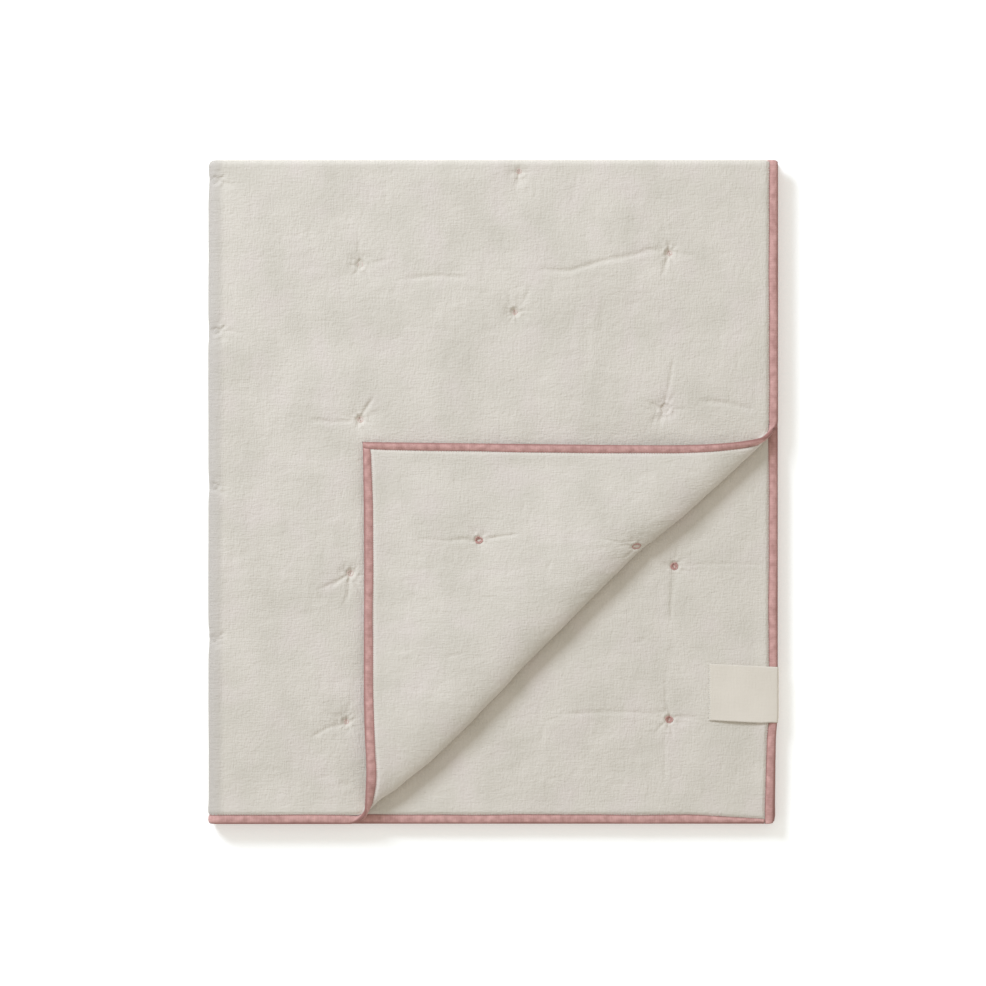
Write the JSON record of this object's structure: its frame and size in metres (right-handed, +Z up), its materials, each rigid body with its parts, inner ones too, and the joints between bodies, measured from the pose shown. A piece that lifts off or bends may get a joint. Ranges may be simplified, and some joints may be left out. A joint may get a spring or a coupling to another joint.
{
  "type": "folded quilt",
  "caption": "Padded cotton quilt, folded flat, with a corner of its top layer turned back, bound edges and a blank label over one side.",
  "frame": {"origin": "centre of the bounding box in plan, at the height of the surface that the folded quilt lies on", "axes": "+X from the side fold towards the bound right edges, +Y towards the top fold, +Z up, from the surface"},
  "size_m": [0.6008, 0.6999, 0.0387],
  "materials": {
    "cotton": "crinkled woven cotton, matt",
    "tape": "woven cotton tape, matt, dusty pink",
    "label": "smooth close woven cotton tape, blank"
  },
  "bodies": {
    "root": {"quilt": "cotton", "binding_right": "tape", "binding_left": "tape", "binding_bottom": "tape", "binding_top": "tape", "label": "label"}
  },
  "joints": []
}
